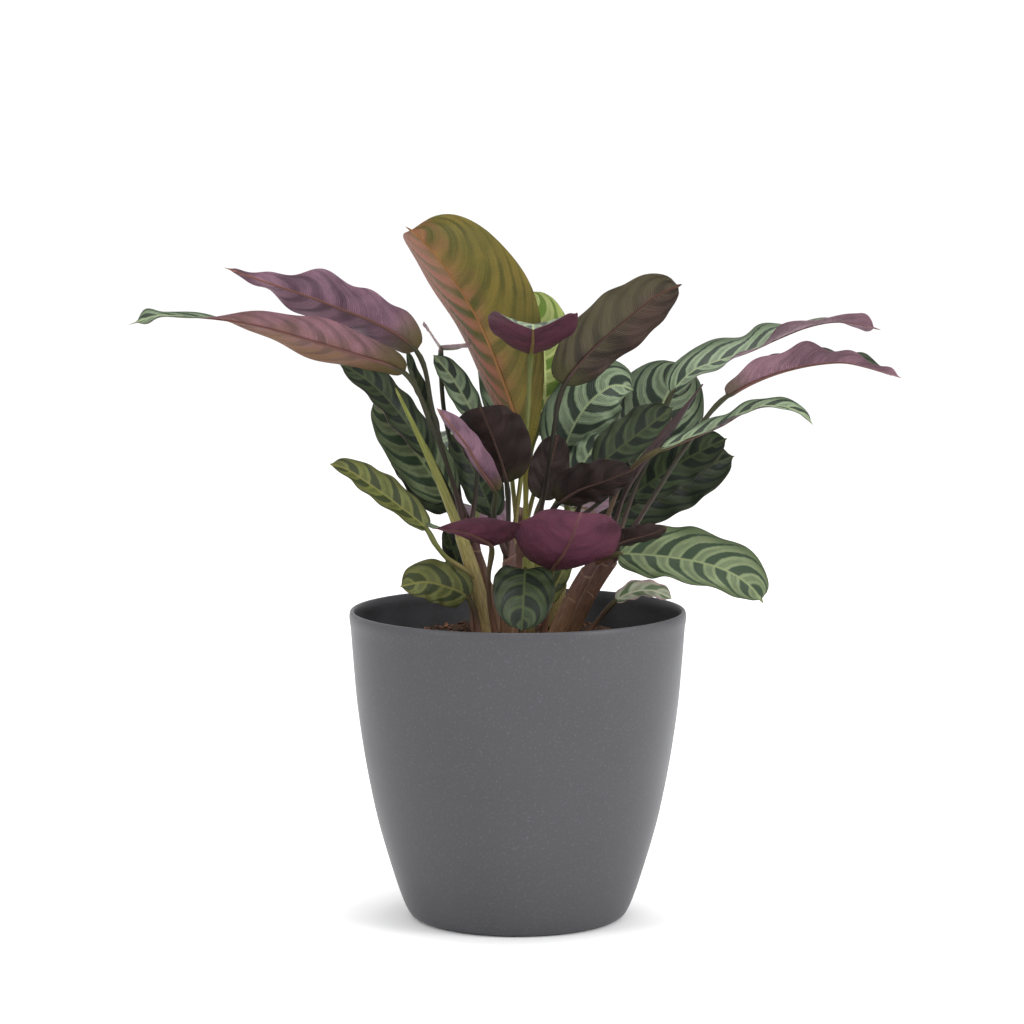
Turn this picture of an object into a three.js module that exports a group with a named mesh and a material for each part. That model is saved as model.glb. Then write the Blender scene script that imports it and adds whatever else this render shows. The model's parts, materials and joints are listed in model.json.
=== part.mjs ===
// A potted ctenanthe: a clump of striped leaves in a thin grower pot of soil, standing loose in a
// round plastic cover pot. Millimetres, +Z up; the origin is the centre of the cover pot's base,
// and the plant's front faces -Y.
import * as THREE from 'three';

// ---------------------------------------------------------------- driving dimensions
const POT_HEIGHT = 169;
const POT_WALL = 2.5;
const POT_FLOOR = 3;
const POT_FOOT_RADIUS = 54; // the flat the pot stands on
const POT_FOOT_EDGE = [58.5, 1.8]; // where the foot turns up into the side: radius, height
const POT_INNER_FLOOR_RADIUS = 56;
const POT_INNER_CORNER = 4; // how far over its floor the inside wall starts
const LIP_ROUNDING = 0.7;
const LIP_DROP = 1.2; // from the top of the lip to the top of the outside wall
const POT_SIDE_STATIONS = 9;
const LATHE_SIDES = 48;

const GROWER_TOP = 144;
const GROWER_BASE = POT_FLOOR + 0.3;
const GROWER_BASE_RADIUS = 46;
const GROWER_TOP_RADIUS = 68;
const GROWER_WALL = 1.4;
const GROWER_RIM_RADIUS = 70.5;
const GROWER_RIM_HEIGHT = 5;

const SOIL_CLEARANCE = 0.35; // between the soil and the grower pot
const SOIL_CROWN = 156; // the flat top of the mound, where the shoots stand
const SOIL_CROWN_RADIUS = 52;
const SOIL_EDGE = 142.5;
const SOIL_MOUND_WIDTH = 8; // of the steeper part that drops away outside the crown
const SOIL_MOUND_DROP = 4;
const SOIL_FLARE = 0.6; // over the grower pot's shoulder
const SHOOT_FOOT = SOIL_CROWN + 0.4;
const LEAF_FOOT = SOIL_CROWN + 1.2;

const PETIOLE_FOOT_RADIUS = 1.6;
const PETIOLE_TOP_RADIUS = 1.15;
const MIDRIB_THICKNESS = 1.3;
const BLADE_THICKNESS = 0.9; // half way out to the margin
const TIP_THINNING = 0.45; // how much of its thickness a blade loses by the tip
const CURVE_STEPS = 80; // for measuring along a curve
const PETIOLE_STATIONS = [0, 0.33, 0.67, 1]; // the last one is where the blade begins
const BLADE_STATIONS = [0.05, 0.14, 0.26, 0.4, 0.54, 0.68, 0.8, 0.9, 0.97];
const OUTLINE_POWER = 2.2; // of the oval outline: 2 is an ellipse, more is squarer
const USUAL_SWELL = 0.88; // under 1 moves the widest place towards the base, over 1 to the tip

// ---------------------------------------------------------------- materials
const finish = (color, roughness) => new THREE.MeshStandardMaterial({ color, roughness, metalness: 0 });
const ANTHRACITE = 0x5c5b60;
const GROWER_BLACK = 0x17171a;
const PEAT = 0x2e2018;
const STRIPED_GREEN = 0x6f8a62;
const BURGUNDY = 0x6b4056;
const DARK_PURPLE = 0x3f2a33;
const OLIVE = 0x77703a;
const LIME = 0xa9b96a;
const SHOOT_GREEN = 0x8a8c4a;
const SHOOT_BROWN = 0x6e4a34;

// ---------------------------------------------------------------- ring-built solids
// Corner numbers of a ring, looked at along the line with the upper side up: the left margin,
// over the top to the right margin, and back underneath.
const RING_SIDES = 8;
const TOP_MIDDLE = 2;

// Joins rings of eight corners, with a point at each end, into one closed solid. The diagonals run
// outwards from the middle of both sides, so the two sides of a thin blade stay parallel. In the
// first bay they run from the top alone, which marks the upper side.
function ringSolid(rings, foot, tip) {
  const corners = [...rings.flat(), foot, tip];
  const footIndex = corners.length - 2;
  const tipIndex = corners.length - 1;
  const faces = [];
  for (let k = 0; k + 1 < rings.length; k++) {
    for (let side = 0; side < RING_SIDES; side++) {
      const next = (side + 1) % RING_SIDES;
      const [a, b] = [k * RING_SIDES + side, k * RING_SIDES + next];
      const [c, d] = [b + RING_SIDES, a + RING_SIDES];
      const runsForward = k === 0 ? side >= TOP_MIDDLE && side < TOP_MIDDLE + 4 : side % 4 > 1;
      faces.push(...(runsForward ? [a, b, c, a, c, d] : [a, b, d, b, c, d]));
    }
  }
  const last = (rings.length - 1) * RING_SIDES;
  for (let side = 0; side < RING_SIDES; side++) {
    const next = (side + 1) % RING_SIDES;
    faces.push(footIndex, next, side, tipIndex, last + side, last + next);
  }
  const geometry = new THREE.BufferGeometry().setFromPoints(corners);
  geometry.setIndex(faces);
  geometry.computeVertexNormals();
  return geometry;
}

const vector = ([x, y, z]) => new THREE.Vector3(x, y, z);

// The part of `direction` that is square to `along`, at length 1.
const squareTo = (direction, along) =>
  direction.clone().addScaledVector(along, -direction.dot(along)).normalize();

// The curve's parameters at the given fractions of its length between two parameters.
function parametersAt(curve, from, to, fractions) {
  const share = (to - from) / CURVE_STEPS;
  const parameters = Array.from({ length: CURVE_STEPS + 1 }, (_, i) => from + share * i);
  const lengths = [0];
  for (let i = 1; i <= CURVE_STEPS; i++) {
    const step = curve.getPoint(parameters[i]).distanceTo(curve.getPoint(parameters[i - 1]));
    lengths.push(lengths[i - 1] + step);
  }
  return fractions.map((fraction) => {
    const wanted = fraction * lengths[CURVE_STEPS];
    const i = Math.max(1, lengths.findIndex((length) => length >= wanted - 1e-9));
    const past = (wanted - lengths[i - 1]) / (lengths[i] - lengths[i - 1]);
    return parameters[i - 1] + past * share;
  });
}

// A round ring of the given radius about a point of the line.
function roundRing(centre, along, up, radius) {
  const right = new THREE.Vector3().crossVectors(along, up);
  return Array.from({ length: RING_SIDES }, (_, side) => {
    const turn = Math.PI - (side * 2 * Math.PI) / RING_SIDES;
    return centre
      .clone()
      .addScaledVector(right, radius * Math.cos(turn))
      .addScaledVector(up, radius * Math.sin(turn));
  });
}

// A shoot: a round tapering tube along `points`, with the radius given at each point.
function shoot(points, radii) {
  const curve = new THREE.CatmullRomCurve3(points.map(vector), false, 'centripetal');
  const stations = 2 * (points.length - 1);
  const rings = [];
  const away = new THREE.Vector3(0, 1, 0);
  for (let i = 0; i <= stations; i++) {
    const t = i / stations;
    const place = t * (points.length - 1);
    const at = Math.min(Math.floor(place), points.length - 2);
    const radius = THREE.MathUtils.lerp(radii[at], radii[at + 1], place - at);
    const along = i === 0 ? new THREE.Vector3(0, 0, 1) : curve.getTangent(t);
    rings.push(roundRing(curve.getPoint(t), along, squareTo(away, along), radius));
  }
  return ringSolid(rings, curve.getPoint(0), curve.getPoint(1));
}

// The half width of a blade at a fraction of its length, as a share of its greatest.
const outline = (fraction, swell) =>
  (1 - Math.abs(2 * fraction ** swell - 1) ** OUTLINE_POWER) ** (1 / OUTLINE_POWER);

// One side of a blade's section: how far out and how far up the surface lies `out` of the way to
// the margin, where it leaves the midrib at the angle `fold` and turns up by `cup` on its way.
function sectionPoint(out, halfWidth, fold, cup) {
  const bend = Math.abs(cup) < 1e-3 ? 1e-3 : cup;
  return [
    (halfWidth * (Math.sin(fold + bend * out) - Math.sin(fold))) / bend,
    (halfWidth * (Math.cos(fold) - Math.cos(fold + bend * out))) / bend,
  ];
}

function bladeRing(centre, along, up, halfWidth, fold, cup, thinning) {
  const right = new THREE.Vector3().crossVectors(along, up);
  const place = (side, out, lift) => {
    const [across, rise] = sectionPoint(out, halfWidth, fold, cup);
    return centre
      .clone()
      .addScaledVector(right, side * across)
      .addScaledVector(up, rise + lift);
  };
  const middle = (MIDRIB_THICKNESS * thinning) / 2;
  const quarter = (BLADE_THICKNESS * thinning) / 2;
  return [
    place(-1, 1, 0), place(-1, 0.5, quarter), place(1, 0, middle), place(1, 0.5, quarter),
    place(1, 1, 0), place(1, 0.5, -quarter), place(1, 0, -middle), place(-1, 0.5, -quarter),
  ];
}

// A leaf grew as one piece: its petiole and its blade. `stalk` and `blade` are points along the
// line, from the foot to the tip; `faces` are directions that the upper side looks in, evenly
// spaced from the blade's base to its tip.
function leaf({ stalk, blade, width, faces, fold = 0.12, cup = 0.25, swell = USUAL_SWELL }) {
  const points = [...stalk, ...blade].map(vector);
  const curve = new THREE.CatmullRomCurve3(points, false, 'centripetal');
  const bladeStart = stalk.length / (points.length - 1);
  const looks = faces.map(vector);

  const bladeRings = parametersAt(curve, bladeStart, 1, BLADE_STATIONS).map((t, i) => {
    const fraction = BLADE_STATIONS[i];
    const place = fraction * (looks.length - 1);
    const at = Math.min(Math.floor(place), Math.max(looks.length - 2, 0));
    const look = looks[at].clone().lerp(looks[Math.min(at + 1, looks.length - 1)], place - at);
    const along = curve.getTangent(t);
    const halfWidth = (width / 2) * outline(fraction, swell);
    const thinning = 1 - TIP_THINNING * fraction;
    const up = squareTo(look, along);
    return bladeRing(curve.getPoint(t), along, up, halfWidth, fold, cup, thinning);
  });

  // Down the petiole the upper side turns with the line and no further.
  let up = looks[0];
  const stalkRings = parametersAt(curve, 0, bladeStart, PETIOLE_STATIONS)
    .map((t, i) => [t, PETIOLE_STATIONS[i]])
    .reverse()
    .map(([t, fraction]) => {
      const along = curve.getTangent(t);
      up = squareTo(up, along);
      const radius = THREE.MathUtils.lerp(PETIOLE_FOOT_RADIUS, PETIOLE_TOP_RADIUS, fraction);
      return roundRing(curve.getPoint(t), along, up, radius);
    })
    .reverse();
  return ringSolid([...stalkRings, ...bladeRings], points[0], points[points.length - 1]);
}

// ---------------------------------------------------------------- pots and soil
// Half of the cover pot's outside, from the edge of its foot to its lip: [radius, height].
const POT_SIDE = [
  [61, 5.5], [66.4, 19.5], [76.2, 52.5], [83, 86], [87.7, 119], [90.4, 152],
  [91.5, POT_HEIGHT - LIP_DROP],
];

const flatPoints = (profile) => profile.map(([x, y]) => new THREE.Vector2(x, y));

const lathe = (profile) =>
  new THREE.LatheGeometry(flatPoints(profile), LATHE_SIDES).rotateX(Math.PI / 2);

function coverPot() {
  const side = new THREE.SplineCurve(flatPoints(POT_SIDE));
  const outside = side.getPoints(POT_SIDE_STATIONS).map((point) => [point.x, point.y]);
  const inside = outside
    .filter(([, height]) => height > POT_FLOOR + POT_INNER_CORNER)
    .map(([radius, height]) => [radius - POT_WALL, height])
    .reverse();
  const lipRadius = POT_SIDE[POT_SIDE.length - 1][0];
  return lathe([
    [0, 0], [POT_FOOT_RADIUS, 0], POT_FOOT_EDGE,
    ...outside,
    [lipRadius - LIP_ROUNDING, POT_HEIGHT], [lipRadius - POT_WALL + LIP_ROUNDING, POT_HEIGHT],
    ...inside,
    [POT_INNER_FLOOR_RADIUS, POT_FLOOR], [0, POT_FLOOR],
  ]);
}

function growerPot() {
  const shoulder = GROWER_TOP - GROWER_RIM_HEIGHT;
  return lathe([
    [0, GROWER_BASE], [GROWER_BASE_RADIUS, GROWER_BASE],
    [GROWER_TOP_RADIUS, shoulder], [GROWER_RIM_RADIUS, shoulder],
    [GROWER_RIM_RADIUS, GROWER_TOP], [GROWER_RIM_RADIUS - GROWER_WALL, GROWER_TOP],
    [GROWER_TOP_RADIUS - GROWER_WALL, shoulder - GROWER_WALL],
    [GROWER_BASE_RADIUS - GROWER_WALL, GROWER_BASE + GROWER_WALL], [0, GROWER_BASE + GROWER_WALL],
  ]);
}

function soil() {
  const base = GROWER_BASE + GROWER_WALL + SOIL_CLEARANCE;
  const wallGap = GROWER_WALL + SOIL_CLEARANCE;
  const shoulder = GROWER_TOP - GROWER_RIM_HEIGHT - GROWER_WALL;
  return lathe([
    [0, base], [GROWER_BASE_RADIUS - wallGap, base],
    [GROWER_TOP_RADIUS - wallGap, shoulder], [GROWER_TOP_RADIUS - wallGap + SOIL_FLARE, SOIL_EDGE],
    [SOIL_CROWN_RADIUS + SOIL_MOUND_WIDTH, SOIL_CROWN - SOIL_MOUND_DROP],
    [SOIL_CROWN_RADIUS, SOIL_CROWN], [0, SOIL_CROWN],
  ]);
}

// ---------------------------------------------------------------- shoots
const SHOOTS = {
  shoot_left: {
    color: SHOOT_GREEN,
    points: [
      [-16, -14, SHOOT_FOOT], [-24, -13, 190], [-35, -11, 222], [-47, -10, 251],
      [-62, -13, 283],
    ],
    radii: [4.4, 3.8, 2.8, 2.2, 1.1],
  },
  shoot_left_inner: {
    color: SHOOT_BROWN,
    points: [[-12, -2, SHOOT_FOOT], [-18, 1, 185], [-27, 4, 211]],
    radii: [4, 3.6, 3.4],
  },
  shoot_centre: {
    color: SHOOT_BROWN,
    points: [[-4, -17, SHOOT_FOOT], [-5, -15, 182], [-4.5, -13, 207]],
    radii: [4.6, 4.3, 3.6],
  },
  shoot_centre_right: {
    color: SHOOT_GREEN,
    points: [[6, -5, SHOOT_FOOT], [5, -2, 182], [7, 2, 204]],
    radii: [3.4, 3.2, 3.2],
  },
  shoot_right_front: {
    color: SHOOT_BROWN,
    points: [[20, -17, SHOOT_FOOT], [32, -18, 183], [41, -18, 198]],
    radii: [4, 3.8, 3.4],
  },
  shoot_right: {
    color: SHOOT_BROWN,
    points: [[28, -6, SHOOT_FOOT], [41, -7, 183], [54, -8, 203]],
    radii: [4.2, 4.2, 4.2],
  },
  shoot_back_right: {
    color: SHOOT_GREEN,
    points: [[18, 16, SHOOT_FOOT], [24, 20, 188], [31, 24, 213]],
    radii: [4.4, 4.2, 4.6],
  },
  shoot_back_left: {
    color: SHOOT_GREEN,
    points: [[-16, 16, SHOOT_FOOT], [-24, 18, 186], [-31, 20, 209]],
    radii: [4, 3.8, 3.8],
  },
  shoot_back: {
    color: SHOOT_BROWN,
    points: [[2, 28, SHOOT_FOOT], [2, 35, 188], [2, 40, 212]],
    radii: [4, 3.8, 3.8],
  },
  shoot_far_back: {
    color: SHOOT_GREEN,
    points: [[6, 44, SHOOT_FOOT], [10, 53, 182], [13, 60, 203]],
    radii: [4, 3.8, 3.8],
  },
  shoot_far_back_left: {
    color: SHOOT_BROWN,
    points: [[-16, 36, SHOOT_FOOT], [-21, 44, 182], [-25, 50, 202]],
    radii: [4, 3.8, 3.6],
  },
  rolled_leaf: {
    color: DARK_PURPLE,
    points: [[50.2, -9.5, 206], [57, -12, 232], [70, -15, 255], [83, -16, 271], [94, -16, 286]],
    radii: [1.4, 1.4, 2.6, 2.8, 0.9],
  },
};

// ---------------------------------------------------------------- leaves
const LEAVES = {
  leaf_far_left: {
    color: BURGUNDY, width: 30,
    stalk: [[-29, 2, 213], [-38, -4, 248], [-50, -9, 278]],
    blade: [
      [-61, -12, 299], [-86, -15, 309], [-108, -20, 316], [-130, -24, 323],
      [-152, -28, 328], [-173, -31, 330], [-190, -33, 331], [-207, -34, 326],
    ],
    faces: [
      [0, 0.8, 0.6], [0, 0.8, 0.6], [0, 0.8, 0.6], [0, 0.7, 0.7], [0, 0.3, 0.95],
      [0, -0.2, 1], [0, -0.8, 0.6],
    ],
  },
  leaf_upper_left: {
    color: BURGUNDY, width: 32,
    stalk: [[-25, 6.5, 212], [-36, 4, 240], [-43, 3, 265], [-50, 3, 293]],
    blade: [
      [-55, 2, 310], [-70, 0, 322], [-88, -4, 330], [-110, -10, 339], [-132, -16, 347],
      [-157, -20, 356],
    ],
    faces: [[-0.1, 0.85, 0.5], [0, 0.85, 0.5]],
  },
  leaf_tall: {
    color: OLIVE, width: 68, swell: 1.7, cup: 0.55, fold: 0.3,
    stalk: [[5.4, 0.8, 205.5], [4, 3, 232]],
    blade: [
      [4, 4, 254], [-4, 3, 282], [-12, 1, 305], [-22, -3, 328], [-32, -8, 345],
      [-44, -15, 362], [-53, -20, 372], [-60, -24, 378],
    ],
    faces: [[0.45, 0.85, 0], [0.5, 0.83, 0.1], [0.45, 0.8, 0.3]],
  },
  leaf_lime: {
    color: LIME, width: 36,
    stalk: [[4, 38.2, 214], [7, 42, 250]],
    blade: [[14, 41, 272], [15, 43, 300], [11, 45, 325], [5, 47, 341]],
    faces: [[0, -1, 0.2], [0, -1, 0.3]],
  },
  leaf_small_curled: {
    color: BURGUNDY, width: 50, cup: 0.35,
    stalk: [[-2.5, -11.5, 208.5], [2, -13, 245], [6, -13, 285]],
    blade: [[7, -14, 309], [8, -26, 316], [8, -42, 324], [8, -60, 328], [8, -76, 326]],
    faces: [[0, 0.45, 0.9], [0, 0.3, 1]],
  },
  leaf_right_dark: {
    color: DARK_PURPLE, width: 37,
    stalk: [[8.6, 3.6, 205.5], [14, 0, 230], [18, -5, 258]],
    blade: [
      [25, -8, 292], [35, -9, 306], [46, -10, 317], [60, -12, 329], [75, -15, 341],
      [88, -18, 347],
    ],
    faces: [[-0.3, 0.9, 0.3], [-0.1, 0.95, 0.3]],
  },
  leaf_right_arching: {
    color: STRIPED_GREEN, width: 40,
    stalk: [[53, -4.5, 204.5], [64, 5, 235], [76, 11, 262]],
    blade: [
      [84, 12, 286], [98, 11, 300], [116, 8, 306], [133, 4, 313], [150, 0, 321],
      [169, -6, 326], [183, -9, 325], [195, -12, 322],
    ],
    faces: [
      [-0.45, -0.6, 0.6], [-0.2, -0.35, 0.9], [-0.1, -0.2, 1], [0, -0.1, 1], [0, 0.2, 1],
      [0.1, 0.8, 0.5],
    ],
  },
  leaf_right_back: {
    color: STRIPED_GREEN, width: 54,
    stalk: [[32.3, 26.8, 215], [47, 31, 226]],
    blade: [[62, 35, 240], [72, 38, 260], [82, 42, 282], [92, 46, 301]],
    faces: [[-0.15, -0.95, 0.3]],
  },
  leaf_far_right: {
    color: DARK_PURPLE, width: 28, fold: 0.6,
    stalk: [[56, -10.5, 204.5], [69, -14, 226], [84, -18, 250], [102, -20, 277]],
    blade: [
      [112, -20, 287], [130, -23, 297], [153, -28, 304], [175, -33, 306], [191, -37, 302],
      [204, -39, 298],
    ],
    faces: [[0, 0.15, 1]],
  },
  leaf_right_low: {
    color: STRIPED_GREEN, width: 20,
    stalk: [[41, -15.3, 200], [54, -16, 236], [64, -20, 252]],
    blade: [
      [76, -27, 259], [92, -31, 266], [108, -36, 273], [122, -40, 281], [136, -44, 284],
      [150, -48, 280], [156, -50, 274],
    ],
    faces: [[0, -0.3, 0.95], [0, -0.2, 1]],
  },
  leaf_mid_right: {
    color: STRIPED_GREEN, width: 40,
    stalk: [[28.5, 26.5, 215.5], [25.5, 29, 233]],
    blade: [[25, 30, 250], [32, 30, 269], [42, 31, 282], [54, 33, 289], [64, 34, 286]],
    faces: [[0.1, -0.85, 0.5]],
  },
  leaf_mid_right_back: {
    color: STRIPED_GREEN, width: 36,
    stalk: [[4.8, 42.4, 213], [12, 46, 240]],
    blade: [[16, 48, 260], [24, 50, 281], [36, 53, 297], [50, 57, 303]],
    faces: [[-0.2, -0.85, 0.45]],
  },
  leaf_mid_small: {
    color: STRIPED_GREEN, width: 20,
    stalk: [[27.3, 22, 216], [27, 18, 225]],
    blade: [[28, 16, 234], [35, 17, 246], [42, 19, 256], [49, 21, 263]],
    faces: [[-0.3, -0.85, 0.4]],
  },
  leaf_right_inner: {
    color: STRIPED_GREEN, width: 28,
    stalk: [[31, 20.4, 216], [37, 11, 232]],
    blade: [[43, 4, 246], [55, 1, 257], [69, -2, 268], [84, -5, 280]],
    faces: [[-0.35, -0.8, 0.5]],
  },
  leaf_right_olive: {
    color: OLIVE, width: 32,
    stalk: [[35.3, 21.4, 213.7], [48, 15, 221]],
    blade: [[62, 12, 230], [80, 9, 243], [98, 8, 254], [114, 7, 262]],
    faces: [[-0.3, -0.8, 0.5]],
  },
  leaf_right_hooked: {
    color: OLIVE, width: 40,
    stalk: [[36.8, 25, 213], [43, 23, 214]],
    blade: [[52, 21, 216], [68, 20, 226], [86, 20, 236], [104, 21, 245], [119, 22, 251]],
    faces: [[-0.3, -0.85, 0.45]],
  },
  leaf_lower_right: {
    color: STRIPED_GREEN, width: 38,
    stalk: [[44, -20.3, 198.5], [48, -25, 201]],
    blade: [
      [54, -29, 203], [70, -34, 203], [85, -40, 202], [99, -46, 200], [112, -51, 196],
      [123, -55, 189], [130, -58, 180],
    ],
    faces: [[0.1, -0.75, 0.65]],
  },
  leaf_front_purple: {
    color: BURGUNDY, width: 57,
    stalk: [[14, -26, LEAF_FOOT], [16, -31, 175]],
    blade: [[18, -37, 195], [23, -50, 204], [28, -64, 215], [31, -76, 225], [33, -84, 232]],
    faces: [[0, 0.7, 0.7]],
  },
  leaf_front_left_purple: {
    color: BURGUNDY, width: 46,
    stalk: [[-12, -26, LEAF_FOOT], [-16, -32, 185]],
    blade: [[-14, -38, 208], [-19, -52, 214], [-27, -66, 219], [-37, -78, 222], [-44, -84, 223]],
    faces: [[0, 0.25, 0.95]],
  },
  leaf_front_small_dark: {
    color: DARK_PURPLE, width: 16,
    stalk: [[39.4, -20.8, 200.5], [44, -33, 205]],
    blade: [[51, -38, 209], [60, -43, 213], [70, -48, 216], [79, -52, 220]],
    faces: [[0, 0.7, 0.7]],
  },
  leaf_front_round: {
    color: STRIPED_GREEN, width: 34,
    stalk: [[3, -30, LEAF_FOOT], [3, -37, 180]],
    blade: [[4, -48, 197], [3.5, -58, 191], [3, -65, 183], [2.5, -69, 175], [2, -71, 167]],
    faces: [[0, -0.9, 0.45]],
  },
  leaf_lower_left: {
    color: OLIVE, width: 26,
    stalk: [[-21, -25, LEAF_FOOT], [-22, -25, 167]],
    blade: [[-27, -25, 179], [-38, -28, 185], [-50, -31, 188], [-63, -34, 186]],
    faces: [[-0.1, -0.85, 0.5]],
  },
  leaf_left_folded: {
    color: OLIVE, width: 20, fold: 0.35,
    stalk: [[-31, -15.5, 194], [-38, -16, 199], [-45, -18, 208]],
    blade: [[-49, -18, 215], [-64, -20, 228], [-80, -22, 240], [-92, -23, 248], [-101, -24, 251]],
    faces: [[0.3, -0.75, 0.5]],
  },
  leaf_left_striped: {
    color: STRIPED_GREEN, width: 32,
    stalk: [[-32, 18.5, 211], [-35, 14, 219]],
    blade: [[-38, 11, 228], [-49, 11, 244], [-60, 12, 260], [-70, 13, 273], [-79, 14, 283]],
    faces: [[0.2, -0.95, 0.2]],
  },
  leaf_left_pink_edge: {
    color: STRIPED_GREEN, width: 22,
    stalk: [[-29.5, 6, 213], [-37, 6, 232]],
    blade: [[-48, 5, 252], [-60, 5, 270], [-74, 4, 287], [-86, 3, 297], [-97, 2, 303]],
    faces: [[0.5, -0.75, 0.4]],
  },
  leaf_left_dark: {
    color: DARK_PURPLE, width: 26,
    stalk: [[-33, 22, 211], [-35, 25, 215]],
    blade: [[-38, 26, 220], [-50, 26, 236], [-60, 26, 247], [-71, 26, 253]],
    faces: [[0.3, -0.9, 0.2]],
  },
  leaf_centre_dark: {
    color: DARK_PURPLE, width: 38,
    stalk: [[-5.5, -14.5, 208.5], [-5, -14, 225]],
    blade: [[-6, -16, 240], [-9, -20, 252], [-13, -27, 264], [-17, -36, 275], [-20, -46, 284]],
    faces: [[0, 0.85, 0.5]],
  },
  leaf_centre_pink: {
    color: BURGUNDY, width: 17, fold: 0.3,
    stalk: [[-8, -17, 206], [-13, -22, 222]],
    blade: [[-12, -26, 236], [-19, -32, 248], [-27, -38, 262], [-35, -43, 273], [-43, -47, 283]],
    faces: [[0.5, 0.7, 0.5]],
  },
  leaf_left_small: {
    color: STRIPED_GREEN, width: 16,
    stalk: [[-25.5, 2.2, 213], [-22, 10, 242]],
    blade: [[-23, 14, 270], [-29, 15, 283], [-37, 15, 296], [-46, 14, 307]],
    faces: [[0.3, -0.9, 0.3]],
  },
  leaf_tiny_pink: {
    color: BURGUNDY, width: 32, fold: 0.45, cup: 0.1,
    stalk: [[-30, 20.5, 211.5], [-35, 25, 250], [-42, 27, 285], [-43, 26, 300]],
    blade: [[-42, 20, 309], [-42, 10, 312], [-42, 0, 313]],
    faces: [[0.42, 0, 0.9]],
  },
  leaf_inner_dark_green: {
    color: STRIPED_GREEN, width: 24,
    stalk: [[-28, 17.5, 210], [-22, 16, 212]],
    blade: [[-15, 17, 218], [-20, 19, 234], [-28, 22, 250], [-37, 23, 263]],
    faces: [[0.3, -0.9, 0.3]],
  },
  leaf_centre_right_purple: {
    color: DARK_PURPLE, width: 28,
    stalk: [[8.5, -0.5, 205.5], [15, -8, 219]],
    blade: [[22, -16, 229], [33, -22, 237], [46, -28, 242], [62, -33, 249]],
    faces: [[0, 0.85, 0.5]],
  },
  leaf_rim_right: {
    color: LIME, width: 14,
    stalk: [[37, -14, LEAF_FOOT], [44, -15, 166]],
    blade: [[53, -17, 176], [62, -19, 181], [73, -21, 182], [83, -23, 178]],
    faces: [[0, -0.6, 0.8]],
  },
  leaf_left_inner: {
    color: OLIVE, width: 14,
    stalk: [[-24, 6, LEAF_FOOT], [-25, 8, 166]],
    blade: [[-27, 10, 178], [-32, 11, 190], [-36, 11, 202], [-40, 11, 213]],
    faces: [[0.3, -0.9, 0.3]],
  },
  leaf_centre_olive: {
    color: OLIVE, width: 12,
    stalk: [[14, -6, LEAF_FOOT], [15, -7, 165]],
    blade: [[17, -8, 174], [20, -8, 182], [24, -8, 190], [29, -8, 198]],
    faces: [[-0.3, -0.9, 0.3]],
  },
  leaf_centre_brown: {
    color: OLIVE, width: 22,
    stalk: [[5.5, 4.5, 205.5], [9, 9, 217]],
    blade: [[13, 10, 228], [16, 11, 240], [19, 12, 252], [22, 13, 264]],
    faces: [[0, 0.95, 0.2]],
  },
  leaf_left_edge_on: {
    color: DARK_PURPLE, width: 12,
    stalk: [[-27.5, 8.5, 211], [-35, 18, 240]],
    blade: [[-44, 20, 262], [-51, 20, 280], [-58, 20, 298], [-61, 20, 310]],
    faces: [[0.8, -0.5, 0.2]],
  },
  leaf_back_centre: {
    color: STRIPED_GREEN, width: 46,
    stalk: [[13, 62.5, 205], [14, 72, 235]],
    blade: [[15, 80, 256], [17, 98, 270], [19, 120, 276], [21, 142, 270]],
    faces: [[0, -0.3, 0.95], [0, 0.3, 0.95]],
  },
  leaf_back_right: {
    color: STRIPED_GREEN, width: 42,
    stalk: [[12, 57, 205], [26, 62, 228]],
    blade: [[36, 71, 240], [51, 84, 255], [66, 100, 262], [80, 118, 256]],
    faces: [[0, -0.1, 1], [0.2, 0.4, 0.9]],
  },
  leaf_back_left: {
    color: STRIPED_GREEN, width: 36,
    stalk: [[-26, 52, 204], [-34, 58, 225]],
    blade: [[-38, 64, 240], [-42, 80, 252], [-45, 98, 257], [-47, 116, 252]],
    faces: [[0, -0.1, 1], [-0.1, 0.4, 0.9]],
  },
  leaf_back_low_left: {
    color: OLIVE, width: 36,
    stalk: [[-24, 48.5, 205], [-23, 60, 214]],
    blade: [[-22, 70, 217], [-22, 88, 214], [-22, 105, 204], [-22, 118, 190]],
    faces: [[0, 0.3, 1], [0, 0.9, 0.4]],
  },
  leaf_back_low_right: {
    color: STRIPED_GREEN, width: 38,
    stalk: [[17.6, 58.5, 204.5], [24, 68, 212]],
    blade: [[30, 77, 216], [40, 92, 214], [48, 106, 205], [54, 118, 192]],
    faces: [[0, 0.3, 1], [0.3, 0.8, 0.4]],
  },
  leaf_back_upright: {
    color: BURGUNDY, width: 34,
    stalk: [[-0.5, 41.5, 214], [-4, 48, 245]],
    blade: [[-3, 55, 262], [-5, 63, 284], [-8, 73, 301], [-12, 88, 311]],
    faces: [[0, -0.8, 0.5], [0, -0.5, 0.8]],
  },
};

// ---------------------------------------------------------------- the plant in its pots
const plant = new THREE.Group();

function add(name, geometry, material) {
  const mesh = new THREE.Mesh(geometry, material);
  mesh.name = name;
  plant.add(mesh);
}

add('cover_pot', coverPot(), finish(ANTHRACITE, 0.42));
add('grower_pot', growerPot(), finish(GROWER_BLACK, 0.5));
add('soil', soil(), finish(PEAT, 0.95));
for (const [name, { points, radii, color }] of Object.entries(SHOOTS)) {
  add(name, shoot(points, radii), finish(color, 0.55));
}
for (const [name, { color, ...shape }] of Object.entries(LEAVES)) {
  add(name, leaf(shape), finish(color, 0.5));
}

export default plant;
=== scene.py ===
"""The looks of a potted ctenanthe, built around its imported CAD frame. Metres, +Z up, front -Y.

Each leaf and shoot is a ring-built solid in the frame: its rings give the line it grows along, the
way its upper side faces, and its width. The pieces here are finer surfaces on those same lines.
"""
import json
import math
import random

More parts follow.
